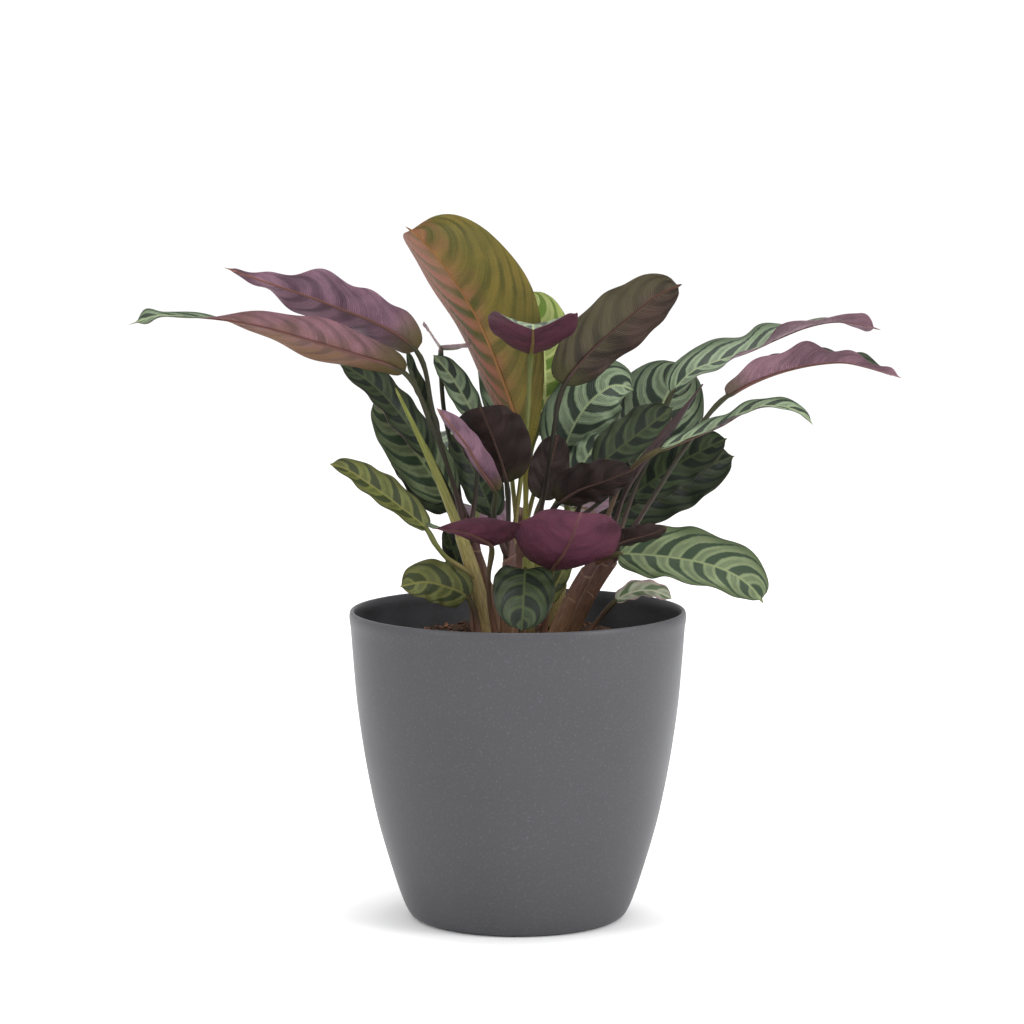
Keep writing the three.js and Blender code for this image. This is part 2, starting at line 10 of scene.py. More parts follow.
import bpy
import numpy as np
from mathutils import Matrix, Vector


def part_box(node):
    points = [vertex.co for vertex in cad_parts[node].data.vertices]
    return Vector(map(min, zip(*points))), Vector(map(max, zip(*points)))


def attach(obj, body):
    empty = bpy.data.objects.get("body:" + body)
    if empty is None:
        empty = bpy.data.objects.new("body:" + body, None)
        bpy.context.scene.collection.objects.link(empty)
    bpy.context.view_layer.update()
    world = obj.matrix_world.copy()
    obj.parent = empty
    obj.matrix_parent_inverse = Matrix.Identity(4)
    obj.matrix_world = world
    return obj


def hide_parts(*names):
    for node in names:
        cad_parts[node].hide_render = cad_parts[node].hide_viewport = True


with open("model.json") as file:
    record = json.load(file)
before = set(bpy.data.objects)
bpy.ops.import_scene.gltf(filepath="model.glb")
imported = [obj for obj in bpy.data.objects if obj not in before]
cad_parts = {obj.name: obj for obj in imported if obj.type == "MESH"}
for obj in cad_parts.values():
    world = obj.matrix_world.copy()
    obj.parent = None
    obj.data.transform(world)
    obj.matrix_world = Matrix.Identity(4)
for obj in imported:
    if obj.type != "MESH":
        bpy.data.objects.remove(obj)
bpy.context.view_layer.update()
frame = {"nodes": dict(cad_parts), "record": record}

MM = 0.001
RANDOM_SEED = 20

# ------------------------------------------------------------------ camera, light and stage
CAMERA_PLACE = (0.0, -2.0, 0.445)
CAMERA_TILT = 6.35  # degrees below the horizon
CAMERA_YAW = 0.09  # degrees to the left
CAMERA_LENS = 130.3
CAMERA_SENSOR = 36.0

# name: (place, size, power in watts); each one looks at the middle of the plant
LIGHTS = {
    "softbox_right": ((1.6, -0.95, 0.9), 0.9, 23.0),
    "softbox_left": ((-1.6, -1.1, 0.85), 0.9, 11.0),
    "softbox_top": ((0.15, 0.1, 2.3), 1.2, 32.0),
}
LIGHT_TARGET = Vector((0, 0, 0.22))
WORLD_COLOR = (1.0, 1.0, 1.0, 1.0)
WORLD_STRENGTH = 1.05
FLOOR_RADIUS = 9.0


def make_camera():
    data = bpy.data.cameras.new("camera")
    data.lens = CAMERA_LENS
    data.sensor_width = CAMERA_SENSOR
    camera = bpy.data.objects.new("camera", data)
    camera.location = CAMERA_PLACE
    camera.rotation_euler = (math.radians(90 - CAMERA_TILT), 0, math.radians(CAMERA_YAW))
    bpy.context.scene.collection.objects.link(camera)
    bpy.context.scene.camera = camera


def make_lights():
    for name, (place, size, power) in LIGHTS.items():
        data = bpy.data.lights.new(name, "AREA")
        data.shape = "DISK"
        data.size = size
        data.energy = power
        light = bpy.data.objects.new(name, data)
        light.location = place
        aim = LIGHT_TARGET - Vector(place)
        light.rotation_euler = aim.to_track_quat("-Z", "Y").to_euler()
        bpy.context.scene.collection.objects.link(light)
    world = bpy.data.worlds.new("studio")
    world.use_nodes = True
    background = world.node_tree.nodes["Background"]
    background.inputs["Color"].default_value = WORLD_COLOR
    background.inputs["Strength"].default_value = WORLD_STRENGTH
    bpy.context.scene.world = world
    bpy.context.scene.view_settings.view_transform = "Standard"


# ------------------------------------------------------------------ material helpers
def srgb(red, green, blue):
    """A colour given as 0 to 255 screen values, in the linear values that shaders use."""
    def linear(value):
        value /= 255
        return value / 12.92 if value <= 0.04045 else ((value + 0.055) / 1.055) ** 2.4
    return (linear(red), linear(green), linear(blue), 1.0)


class Finish:
    """One procedural material, and short ways to add nodes to it."""

    def __init__(self, name, roughness, specular=0.5):
        self.material = bpy.data.materials.new(name)
        self.material.use_nodes = True
        self.tree = self.material.node_tree
        self.shader = self.tree.nodes["Principled BSDF"]
        self.shader.inputs["Roughness"].default_value = roughness
        self.shader.inputs["Specular IOR Level"].default_value = specular

    def node(self, kind, **inputs):
        made = self.tree.nodes.new(kind)
        for key, value in inputs.items():
            self.feed(made.inputs[key.replace("_", " ")], value)
        return made

    def feed(self, socket, value):
        if isinstance(value, bpy.types.NodeSocket):
            self.tree.links.new(value, socket)
        else:
            socket.default_value = value

    def math(self, operation, first, second=0.0, third=0.0):
        made = self.tree.nodes.new("ShaderNodeMath")
        made.operation = operation
        for socket, value in zip(made.inputs, (first, second, third)):
            self.feed(socket, value)
        return made.outputs[0]

    def band(self, value, low, high, to_low=0.0, to_high=1.0):
        """value from low to high becomes to_low to to_high, eased at both ends."""
        made = self.tree.nodes.new("ShaderNodeMapRange")
        made.interpolation_type = "SMOOTHSTEP"
        for socket, number in zip(made.inputs, (value, low, high, to_low, to_high)):
            self.feed(socket, number)
        return made.outputs["Result"]

    def mix(self, factor, first, second, kind="MIX"):
        made = self.tree.nodes.new("ShaderNodeMix")
        made.data_type = "RGBA"
        made.blend_type = kind
        self.feed(made.inputs[0], factor)
        self.feed(made.inputs[6], first)
        self.feed(made.inputs[7], second)
        return made.outputs[2]

    def parts(self, attribute):
        """The three numbers of a vector attribute."""
        read = self.tree.nodes.new("ShaderNodeAttribute")
        read.attribute_name = attribute
        return self.node("ShaderNodeSeparateXYZ", Vector=read.outputs["Vector"]).outputs

    def vector(self, x, y, z):
        return self.node("ShaderNodeCombineXYZ", X=x, Y=y, Z=z).outputs[0]

    def noise(self, vector, scale, detail=3.0, roughness=0.5):
        made = self.node("ShaderNodeTexNoise", Vector=vector, Scale=scale, Detail=detail,
                         Roughness=roughness)
        return made.outputs["Fac"]

    def place(self):
        return self.node("ShaderNodeTexCoord").outputs["Object"]

    def bump(self, height, strength, distance):
        made = self.node("ShaderNodeBump", Height=height, Strength=strength, Distance=distance)
        self.feed(self.shader.inputs["Normal"], made.outputs[0])

    def color(self, value):
        self.feed(self.shader.inputs["Base Color"], value)


# ------------------------------------------------------------------ mesh helpers
def smooth_through(knots, values, at):
    """A smooth curve through values at knots, read at each of `at`."""
    knots, values, at = (np.asarray(array, float) for array in (knots, values, at))
    slopes = np.gradient(values, knots, axis=0)
    i = np.clip(np.searchsorted(knots, at, side="right") - 1, 0, len(knots) - 2)
    step = knots[i + 1] - knots[i]
    s = (at - knots[i]) / step
    weights = (2 * s**3 - 3 * s**2 + 1, s**3 - 2 * s**2 + s, -2 * s**3 + 3 * s**2, s**3 - s**2)
    terms = (values[i], slopes[i] * spread(step, values), values[i + 1],
             slopes[i + 1] * spread(step, values))
    return sum(spread(weight, values) * term for weight, term in zip(weights, terms))


def spread(row, like):
    """row, shaped so that it multiplies arrays that hold one item of `like` for each number."""
    return row.reshape((-1,) + (1,) * (like.ndim - 1))


def unit(vectors):
    return vectors / np.maximum(np.linalg.norm(vectors, axis=-1, keepdims=True), 1e-12)


def make_piece(name, points, faces, materials, numbers=None, attributes=None):
    """A smooth-shaded mesh object. numbers holds each face's material number."""
    mesh = bpy.data.meshes.new(name)
    mesh.from_pydata([tuple(point) for point in points], [], [tuple(face) for face in faces])
    for material in materials:
        mesh.materials.append(material)
    if numbers is not None:
        mesh.polygons.foreach_set("material_index", np.asarray(numbers, np.int32))
    mesh.polygons.foreach_set("use_smooth", np.ones(len(mesh.polygons), bool))
    for key, values in (attributes or {}).items():
        made = mesh.attributes.new(key, "FLOAT_VECTOR", "POINT")
        made.data.foreach_set("vector", np.asarray(values, np.float32).ravel())
    mesh.validate()
    mesh.update()
    piece = bpy.data.objects.new(name, mesh)
    bpy.context.scene.collection.objects.link(piece)
    return piece


def settle(piece, node):
    """The piece stands for its CAD node: it joins the root body and the node is hidden."""
    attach(piece, "root")
    if node:
        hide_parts(node)


def grid_faces(rows, columns, start=0, wrap=False, flip=False):
    """Quads over rows x columns points numbered from start; wrap joins the last column to the first."""
    faces = []
    for row in range(rows - 1):
        for column in range(columns if wrap else columns - 1):
            following = (column + 1) % columns
            a, b = start + row * columns + column, start + row * columns + following
            quad = (a, b, b + columns, a + columns)
            faces.append(quad[::-1] if flip else quad)
    return faces


SLOTS = {entry["node"]: entry["material_slot"] for entry in frame["record"]["subparts"]}


# ------------------------------------------------------------------ reading the CAD rings
RING_SIDES = 8


class Line:
    """The line of a ring-built CAD solid: stations along it with the way up, the widths and the
    section's angles, read from the node's own mesh."""

    def __init__(self, node, is_leaf):
        mesh = frame["nodes"][node].data
        number, points, index = {}, [], []
        for vertex in mesh.vertices:
            key = tuple(round(x, 6) for x in vertex.co)
            if key not in number:
                number[key] = len(points)
                points.append(key)
            index.append(number[key])
        self.points = np.array(points, float)
        self.links = [set() for _ in points]
        for polygon in mesh.polygons:
            corners = [index[v] for v in polygon.vertices]
            for a, b in zip(corners, corners[1:] + corners[:1]):
                self.links[a].add(b)
                self.links[b].add(a)
        ends = [i for i in range(len(points)) if self.is_end(i)]
        foot, tip = sorted(ends, key=self.unevenness if is_leaf else lambda i: self.points[i, 2])
        rings = self.rings(foot, tip)
        tops = [ring[0] for ring in rings]
        unders = [ring[4] for ring in rings]
        self.centres = (self.points[tops] + self.points[unders]) / 2
        self.ups = unit(self.points[tops] - self.points[unders])
        self.rights = np.array([self.points[ring[2]] for ring in rings])
        self.lefts = np.array([self.points[ring[6]] for ring in rings])
        self.right_quarters = np.array([self.points[[ring[1], ring[3]]].mean(0) for ring in rings])
        self.left_quarters = np.array([self.points[[ring[5], ring[7]]].mean(0) for ring in rings])
        self.foot, self.tip = self.points[foot], self.points[tip]

    def is_end(self, i):
        ring = self.links[i]
        second = set().union(*(self.links[j] for j in ring)) - ring - {i}
        return len(ring) == RING_SIDES and len(second) == RING_SIDES

    def unevenness(self, end):
        reach = np.linalg.norm(self.points[list(self.links[end])] - self.points[end], axis=1)
        return reach.std() / reach.mean()

    def rings(self, foot, tip):
        """Each ring's corners, from the middle of the upper side over the right margin."""
        found, seen, level = [], {foot}, set(self.links[foot])
        while level != {tip}:
            found.append(level)
            seen |= level
            level = set().union(*(self.links[i] for i in level)) - seen
        links = self.links
        top = next(i for i in found[0] if len(links[i] & found[1]) == 3)
        tops = [top]
        for before, ring in zip(found, found[1:]):
            top = next(i for i in links[top] & ring if len(links[i] & before) == 1)
            tops.append(top)
        ordered = []
        middles = [self.points[list(ring)].mean(0) for ring in found] + [self.points[tip]]
        for k, (ring, top) in enumerate(zip(found, tops)):
            cycle = [top]
            while len(cycle) < RING_SIDES:
                cycle.append(next(i for i in links[cycle[-1]] & ring if i not in cycle))
            along = middles[k + 1] - middles[k]
            up = self.points[top] - self.points[cycle[4]]
            right = np.cross(along, up)
            if (self.points[cycle[2]] - middles[k]) @ right < 0:
                cycle = [top] + cycle[:0:-1]
            ordered.append(cycle)
        return ordered


# ------------------------------------------------------------------ leaf shape
OUTLINE_POWER = 2.2  # of the oval outline: 2 is an ellipse, more is squarer
BODY_END = 0.965  # where the oval ends and the little point at the tip goes on
POINT_HALF_WIDTH = 1.3 * MM
BLADE_RINGS = 9  # of the CAD solid, after the ring where the blade begins
LEAF_THICKNESS = 0.38 * MM
MARGIN_THICKNESS = 0.14 * MM
ROW_STEP = 1.5 * MM
MOST_ROWS = 110
COLUMNS = 28
STALK_SIDES = 10
STALK_ROWS = 26
RIB_ROWS = 30
RIB_END = 0.94
VEIN_SWEEP = (0.35, 1.15)  # how far veins bend to the tip, in half widths: first steadily, then fast
QUILT_SPACING = 7.0 * MM


def outline(share, swell):
    share = np.clip(share, 0, 1)
    oval = 1 - np.abs(2 * share**swell - 1) ** OUTLINE_POWER
    return np.maximum(oval, 0) ** (1 / OUTLINE_POWER)


def fit_outline(shares, halves):
    """The swell and the greatest half width whose outline best gives the widths read."""
    best = None
    for swell in np.arange(0.7, 2.4, 0.02):
        ratios = halves / outline(shares, swell)
        score = ratios.std() / ratios.mean()
        if best is None or score < best[0]:
            best = (score, swell, ratios.mean())
    return best[1], best[2]


def section_angles(line, first):
    """The angle at which a blade leaves its midrib, and how much it turns up on its way out."""
    folds, cups = [], []
    for k in range(first + 2, first + BLADE_RINGS - 1):
        right = unit(np.cross(line.centres[k + 1] - line.centres[k - 1], line.ups[k]))
        for margin, quarter, side in ((line.rights, line.right_quarters, 1),
                                      (line.lefts, line.left_quarters, -1)):
            inner = quarter[k] - line.centres[k]
            outer = margin[k] - quarter[k]
            near = math.atan2(inner @ line.ups[k], side * inner @ right)
            far = math.atan2(outer @ line.ups[k], side * outer @ right)
            cups.append(2 * (far - near))
            folds.append(near - (far - near) / 2)
    return float(np.median(folds)), float(np.median(cups))


class LeafShape:
    """Everything needed to place points on one leaf."""

    def __init__(self, node, seed):
        line = Line(node, True)
        self.random = random.Random(f"{node}{seed}")
        centres = np.vstack([line.centres, line.tip])
        ups = np.vstack([line.ups, line.ups[-1]])
        self.base = len(line.centres) - BLADE_RINGS - 1
        steps = np.linalg.norm(np.diff(centres, axis=0), axis=1)
        self.reach = np.concatenate([[0], np.cumsum(steps)])
        self.centres, self.ups = centres, ups
        self.blade_start = self.reach[self.base]
        self.length = self.reach[-1] - self.blade_start
        shares = (self.reach[self.base + 1:-1] - self.blade_start) / self.length
        k = slice(self.base + 1, self.base + 1 + BLADE_RINGS)
        halves = [
            (np.linalg.norm(quarters[k] - line.centres[k], axis=1)
             + np.linalg.norm(margins[k] - quarters[k], axis=1))
            for quarters, margins in ((line.right_quarters, line.rights),
                                      (line.left_quarters, line.lefts))
        ]
        self.swell, self.half_width = fit_outline(shares, sum(halves) / 2)
        self.fold, self.cup = section_angles(line, self.base)

    def frame_at(self, reach):
        """Points of the line, and the along, up and right directions there."""
        centre = smooth_through(self.reach, self.centres, reach)
        ahead = smooth_through(self.reach, self.centres, np.minimum(reach + 0.3 * MM, self.reach[-1]))
        behind = smooth_through(self.reach, self.centres, np.maximum(reach - 0.3 * MM, 0))
        along = unit(ahead - behind)
        up = smooth_through(self.reach, self.ups, reach)
        up = unit(up - (up * along).sum(1)[:, None] * along)
        return centre, along, up, np.cross(along, up)

    def half_at(self, share):
        body = self.half_width * outline(share / BODY_END, self.swell)
        point = POINT_HALF_WIDTH * np.clip((1 - share) / (1 - BODY_END) * 0.8, 0, 1) ** 0.8
        point = np.where(share > 0.8, point, 0)
        stem = 1.0 * MM * np.clip(1 - share / 0.02, 0, 1)
        return np.maximum(np.maximum(body, point), stem)


def waves(shape, share, out, side, amount, count):
    """How far the blade's surface waves up and down, most at its margins."""
    phase = shape.random.uniform(0, 6.28)
    drift = shape.random.uniform(-0.6, 0.6)
    turn = 2 * math.pi * count * (share + 0.02 * np.sin(9 * share + phase)) + phase
    slow = 2 * math.pi * 0.45 * count * share + 2 * phase
    wave = np.sin(turn + side * drift + (side > 0) * 1.9) + 0.6 * np.sin(slow + side * 2.1)
    return amount * wave * out**2.2 * np.sin(math.pi * np.clip(share * 1.02, 0, 1)) ** 0.6


def narrowed(share, start, end, amount, flare):
    """How much of its width a blade keeps where it narrows to a tail with a flared tip."""
    way = np.clip((share - start) / (end - start), 0, 1)
    return 1 - amount * way**2 * (3 - 2 * way) + flare * np.exp(-(((share - 0.93) / 0.035) ** 2))


def make_leaf(node, upper, lower, stalk, wave=1.2, count=4.0, quilt=0.26, tail=None):
    shape = LeafShape(node, RANDOM_SEED)
    rows = int(min(MOST_ROWS, max(40, shape.length / ROW_STEP)))
    share = np.linspace(0, 1, rows)
    share = share - 0.06 * np.sin(2 * math.pi * share) / (2 * math.pi)
    centre, along, up, right = shape.frame_at(shape.blade_start + share * shape.length)
    half = shape.half_at(share)
    if tail:
        half = half * narrowed(share, *tail)
    spread_v = np.linspace(-1, 1, COLUMNS + 1)
    v = np.sign(spread_v) * np.abs(spread_v) ** 1.25
    side, out = np.sign(v), np.abs(v)

    # the section: fold at the midrib and cup towards the margin
    cup = shape.cup if abs(shape.cup) > 1e-3 else 1e-3
    angle = shape.fold + cup * out
    across = half[:, None] * (np.sin(angle) - math.sin(shape.fold)) / cup
    rise = half[:, None] * (math.cos(shape.fold) - np.cos(angle)) / cup
    grid_share = np.repeat(share[:, None], len(v), 1)
    grid_out = half[:, None] * out
    along_mm = grid_share * shape.length
    sweep = along_mm - shape.half_width * (VEIN_SWEEP[0] * out + VEIN_SWEEP[1] * out**3)
    rise = rise + MM * waves(shape, grid_share, out, side, wave, count)
    fade = np.sin(math.pi * np.clip(out, 0, 1)) * np.sin(math.pi * grid_share) ** 0.5
    rise = rise + MM * quilt * np.cos(2 * math.pi * sweep / QUILT_SPACING) * fade
    middle = (centre[:, None] + right[:, None] * (side * across)[..., None]
              + up[:, None] * rise[..., None])
    normal = unit(np.cross(np.gradient(middle, axis=1), np.gradient(middle, axis=0)))
    thickness = MARGIN_THICKNESS + (LEAF_THICKNESS - MARGIN_THICKNESS) * (1 - out**3)
    ends = np.clip(np.minimum(share, 1 - share) / 0.03, 0.3, 1)
    lift = normal * (thickness[None, :] * ends[:, None] / 2)[..., None]
    columns = len(v)
    points = np.concatenate([(middle + lift).reshape(-1, 3), (middle - lift).reshape(-1, 3)])
    faces = grid_faces(rows, columns)
    numbers = [0] * len(faces)
    under = rows * columns
    beneath = grid_faces(rows, columns, under, flip=True)
    faces += beneath
    numbers += [1] * len(beneath)
    rim = [r * columns for r in range(rows)]
    rim += [(rows - 1) * columns + c for c in range(1, columns)]
    rim += [r * columns + columns - 1 for r in range(rows - 2, -1, -1)]
    rim += list(range(columns - 2, 0, -1))
    for a, b in zip(rim, rim[1:] + rim[:1]):
        faces.append((a, b, b + under, a + under))
        numbers.append(1)
    signed = side * grid_out / MM
    place = np.stack([along_mm / MM, signed, np.repeat(out[None], rows, 0)], -1).reshape(-1, 3)
    seed = shape.random.uniform(0, 50)
    extra = np.stack([grid_share, np.full_like(grid_share, seed),
                      np.full_like(grid_share, shape.half_width / MM)], -1).reshape(-1, 3)
    place, extra = np.concatenate([place, place]), np.concatenate([extra, extra])

    # the petiole, which goes on under the blade as its midrib
    rib_reach = shape.blade_start + shape.length * RIB_END * np.linspace(0, 1, RIB_ROWS + 1)[1:]
    reach = np.concatenate([np.linspace(0, shape.blade_start, STALK_ROWS), rib_reach])
    spine, ahead, lifted, sideways = shape.frame_at(reach)
    rib = np.clip((reach - shape.blade_start) / (shape.length * RIB_END), 0, 1)
    foot = np.clip(1 - reach / (12 * MM), 0, 1)
    joint = np.exp(-(((reach - shape.blade_start + 6 * MM) / (5 * MM)) ** 2))
    taper = np.where(rib > 0, 0.75 * (1 - rib) ** 1.3 + 0.1, 1)
    radius = MM * (1.3 + 0.5 * foot + 0.32 * joint) * taper
    sink = np.where(rib > 0, 0.6 * radius + LEAF_THICKNESS / 2, 0)
    spine = spine - lifted * sink[:, None]
    root = spine[0] - ahead[0] * 9 * MM
    spine = np.vstack([root, spine])
    radius = np.concatenate([[radius[0]], radius])
    lifted, sideways = (np.vstack([axis[:1], axis]) for axis in (lifted, sideways))
    turn = np.linspace(0, 2 * math.pi, STALK_SIDES, endpoint=False)
    ring = (np.cos(turn)[None, :, None] * sideways[:, None]
            + np.sin(turn)[None, :, None] * lifted[:, None]) * radius[:, None, None]
    tube = (spine[:, None] + ring).reshape(-1, 3)
    start = len(points)
    tube_rows = len(spine)
    tube_faces = grid_faces(tube_rows, STALK_SIDES, start, wrap=True)
    tube_faces.append(tuple(range(start + STALK_SIDES - 1, start - 1, -1)))
    last = start + (tube_rows - 1) * STALK_SIDES
    tube_faces.append(tuple(range(last, last + STALK_SIDES)))
    faces += tube_faces
    numbers += [2] * len(tube_faces)
    full = np.concatenate([[0], reach]) / MM
    tube_place = np.stack([np.repeat(full[:, None], STALK_SIDES, 1),
                           np.repeat(turn[None], tube_rows, 0),
                           np.repeat(np.concatenate([[0], rib])[:, None], STALK_SIDES, 1)], -1)
    tube_extra = np.stack([np.repeat((np.concatenate([[0], reach]) / shape.blade_start)[:, None],
                                     STALK_SIDES, 1),
                           np.full((tube_rows, STALK_SIDES), seed),
                           np.zeros((tube_rows, STALK_SIDES))], -1)
    place = np.concatenate([place, tube_place.reshape(-1, 3)])
    extra = np.concatenate([extra, tube_extra.reshape(-1, 3)])
    piece = make_piece(node + "_surface", np.concatenate([points, tube]), faces,
                       [upper, lower, stalk], numbers, {"leaf_place": place, "leaf_extra": extra})
    settle(piece, node)


# ------------------------------------------------------------------ leaf finishes
BAND_SPACING = 14.0  # mm between the large dark bands of one side
VEIN_SPACING = 1.15  # mm between the fine veins


def leaf_numbers(finish):
    """The numbers that leaf colours are made from: where the point lies and which band it is in."""
    along, signed, share_out = finish.parts("leaf_place")
    share, seed, widest = finish.parts("leaf_extra")
    out = finish.math("ABSOLUTE", signed)
    bend = finish.math("MULTIPLY", finish.math("POWER", share_out, 3.0), VEIN_SWEEP[1])
    bend = finish.math("MULTIPLY_ADD", share_out, VEIN_SWEEP[0], bend)
    sweep = finish.math("SUBTRACT", along, finish.math("MULTIPLY", bend, widest))
    side = finish.math("GREATER_THAN", signed, 0.0)
    spot = finish.vector(along, signed, finish.math("MULTIPLY", seed, 10.0))
    wander = finish.math("MULTIPLY", finish.noise(spot, 0.06, 2.0), 5.0)
    turn = finish.math("ADD", finish.math("ADD", sweep, wander), finish.math("MULTIPLY", side, 6.2))
    turn = finish.math("MULTIPLY", finish.math("ADD", turn, seed), 2 * math.pi / BAND_SPACING)
    wave = finish.math("COSINE", turn)
    ragged = finish.math("MULTIPLY_ADD", finish.noise(spot, 0.4, 3.0), 0.7, -0.42)
    edge = finish.math("MULTIPLY_ADD", finish.math("POWER", share_out, 2.2), 0.85, ragged)
    height = finish.math("SUBTRACT", wave, edge)
    large = finish.band(height, -0.1, 0.5)
    small = finish.band(finish.math("SUBTRACT", finish.math("MULTIPLY", wave, -1.0), edge), 0.55, 0.95)
    dark = finish.math("MAXIMUM", large, finish.math("MULTIPLY", small, 0.4))
    dark = finish.math("MULTIPLY", dark, finish.band(out, 0.2, 1.2, 0.3, 1))
    fine = finish.math("SINE", finish.math("MULTIPLY", sweep, 2 * math.pi / VEIN_SPACING))
    run = finish.vector(finish.math("MULTIPLY", sweep, 0.9), finish.math("MULTIPLY", out, 0.07),
                        finish.math("MULTIPLY_ADD", side, 9.0, seed))
    streak = finish.noise(run, 0.8, 4.0, 0.6)
    return {"along": along, "out": out, "share_out": share_out, "share": share, "sweep": sweep,
            "spot": spot, "dark": dark, "fine": fine, "signed": signed, "streak": streak,
            "shadow": finish.band(height, -0.7, 0.9)}


def scaled(color, amount):
    return tuple(amount * channel for channel in color[:3]) + (1.0,)


def gray(finish, value):
    return finish.vector(value, value, value)


def upper_finish(name, pale, deep, margin, midrib, roughness=0.42):
    """A leaf's upper side: dark sickle bands on a pale ground, fine veins and a dark margin."""
    finish = Finish(name, roughness, 0.22)
    at = leaf_numbers(finish)
    patch = finish.noise(at["spot"], 0.045, 3.0)
    ground = finish.mix(finish.band(patch, 0.35, 0.7), pale, scaled(pale, 0.68))
    ground = finish.mix(finish.band(at["streak"], 0.5, 0.75, 0, 0.55), ground, scaled(margin, 0.9))
    ground = finish.mix(finish.band(at["share_out"], 0.6, 0.97, 0, 0.75), ground, margin)
    color = finish.mix(finish.math("MULTIPLY", at["dark"], 0.94), ground, deep)
    veins = finish.math("MULTIPLY_ADD", at["fine"], 0.07, 0.97)
    grain = finish.math("MULTIPLY_ADD", finish.noise(at["spot"], 1.4, 4.0), 0.4, 0.8)
    color = finish.mix(1.0, color, gray(finish, finish.math("MULTIPLY", veins, grain)), "MULTIPLY")
    color = finish.mix(finish.band(at["out"], 0.7, 0.2, 0, 0.7), color, midrib)
    color = finish.mix(finish.band(at["share_out"], 0.965, 0.99, 0, 0.7), color, srgb(50, 40, 36))
    finish.color(color)
    height = finish.math("MULTIPLY_ADD", at["fine"], 0.35,
                         finish.math("MULTIPLY", at["streak"], 2.2))
    finish.bump(height, 0.5, 0.0003)
    return finish.material


def lower_finish(name, ground, shade, base, midrib, show=0.5, roughness=0.5, flush=None):
    """A leaf's underside: the bands only shade it, and it turns to the base colour at the stalk."""
    finish = Finish(name, roughness, 0.18)
    at = leaf_numbers(finish)
    patch = finish.noise(at["spot"], 0.04, 4.0, 0.55)
    color = finish.mix(finish.band(patch, 0.35, 0.68, 0, 0.75), ground, shade)
    if flush:
        lean = finish.math("MULTIPLY_ADD", at["signed"], 0.03, finish.math("ADD", patch, 0.12))
        color = finish.mix(finish.band(lean, 0.25, 0.95), color, flush)
    blotch = finish.band(finish.noise(at["spot"], 0.03, 2.0), 0.38, 0.62, 0.35, 1)
    shadow = finish.math("MULTIPLY", finish.math("MULTIPLY", at["shadow"], show), blotch)
    color = finish.mix(shadow, color, scaled(shade, 0.75))
    pale_streak = finish.band(at["streak"], 0.52, 0.74, 0, 0.34)
    color = finish.mix(pale_streak, color, scaled(ground, 1.35))
    color = finish.mix(finish.band(at["streak"], 0.46, 0.3, 0, 0.35), color, scaled(shade, 0.85))
    color = finish.mix(finish.band(at["share"], 0.2, 0.03, 0, 0.85), color, base)
    veins = finish.math("MULTIPLY_ADD", at["fine"], 0.07, 0.97)
    grain = finish.math("MULTIPLY_ADD", finish.noise(at["spot"], 1.1, 4.0), 0.4, 0.8)
    color = finish.mix(1.0, color, gray(finish, finish.math("MULTIPLY", veins, grain)), "MULTIPLY")
    color = finish.mix(finish.band(at["out"], 1.1, 0.2, 0, 0.8), color, midrib)
    finish.color(color)
    height = finish.math("MULTIPLY_ADD", at["fine"], 0.45,
                         finish.math("MULTIPLY", at["streak"], 2.6))
    finish.bump(height, 0.6, 0.00035)
    return finish.material


def stalk_finish(name, foot, middle, top, rib_color):
    """A petiole: three colours along it and one for its run under the blade, streaked lengthwise."""
    finish = Finish(name, 0.5, 0.18)
    along, turn, rib = finish.parts("leaf_place")
    share, seed, _ = finish.parts("leaf_extra")
    color = finish.mix(finish.band(share, 0.05, 0.5), foot, middle)
    color = finish.mix(finish.band(share, 0.55, 1.0), color, top)
    color = finish.mix(finish.band(rib, 0.0, 0.12), color, rib_color)
    spot = finish.vector(finish.math("MULTIPLY", turn, 1.1), finish.math("MULTIPLY", along, 0.05), seed)
    streak = finish.math("MULTIPLY_ADD", finish.noise(spot, 2.2, 4.0, 0.6), 1.1, 0.42)
    color = finish.mix(1.0, color, gray(finish, streak), "MULTIPLY")
    finish.color(color)
    finish.bump(finish.noise(spot, 5.0, 3.0), 0.3, 0.0003)
    return finish.material


UPPERS = {
    "striped": upper_finish("upper_striped", srgb(128, 144, 114), srgb(24, 36, 28),
                            srgb(48, 64, 42), srgb(140, 150, 108)),
    "olive": upper_finish("upper_olive", srgb(114, 126, 92), srgb(38, 54, 38),
                          srgb(58, 72, 42), srgb(118, 128, 84)),
    "yellow": upper_finish("upper_yellow", srgb(98, 102, 52), srgb(42, 50, 26),
                           srgb(70, 70, 32), srgb(112, 108, 54)),
    # Painted shade: a darker copy of the upper side for leaves inside the plant, standing in for the shade that
    # falls there.
    "shaded": upper_finish("upper_painted_shade", srgb(60, 72, 46), srgb(20, 28, 21),
                           srgb(34, 42, 26), srgb(66, 74, 42)),
    "lime": upper_finish("upper_lime", srgb(198, 208, 134), srgb(106, 134, 56),
                         srgb(170, 186, 96), srgb(212, 216, 150)),
    "pinkish": upper_finish("upper_pinkish", srgb(178, 186, 160), srgb(92, 112, 80),
                            srgb(180, 140, 148), srgb(196, 196, 164)),
}
